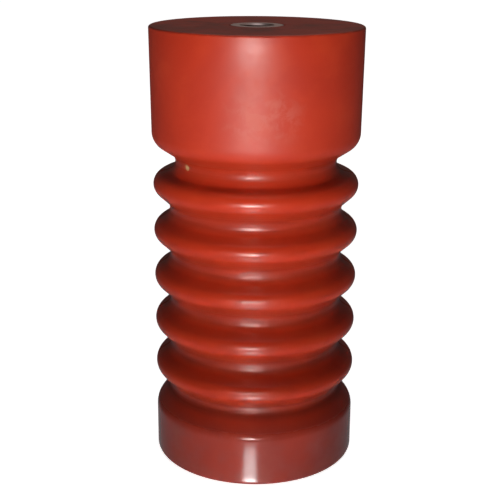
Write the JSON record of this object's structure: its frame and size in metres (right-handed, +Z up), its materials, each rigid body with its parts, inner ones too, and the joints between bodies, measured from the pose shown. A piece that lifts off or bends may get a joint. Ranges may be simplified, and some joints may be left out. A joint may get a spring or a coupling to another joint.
{
  "type": "post insulator",
  "caption": "Indoor post insulator cast in red resin: plain cylindrical head, rounded sheds, plain base, and threaded metal inserts in both end faces.",
  "frame": {"origin": "centre of the base's bottom face", "axes": "+Z up the axis from the base to the terminal face, +X towards the right-hand anchor insert"},
  "size_m": [0.1, 0.1, 0.21],
  "materials": {
    "resin": "glossy cast epoxy resin, oxide red",
    "insert_metal": "zinc-plated steel, turned and tapped",
    "ring_metal": "plain drawn rod",
    "zinc_steel": "zinc-plated sheet and fasteners"
  },
  "bodies": {
    "root": {"resin_body": "resin", "top_insert": "insert_metal", "top_ring_spider": "zinc_steel", "top_ring_washer": "zinc_steel", "top_ring_nut": "zinc_steel", "top_grading_ring": "ring_metal", "base_insert": "insert_metal", "base_ring_spider": "zinc_steel", "base_ring_washer": "zinc_steel", "base_ring_nut": "zinc_steel", "base_grading_ring": "ring_metal", "base_anchor_left": "insert_metal", "base_anchor_right": "insert_metal"}
  },
  "joints": []
}
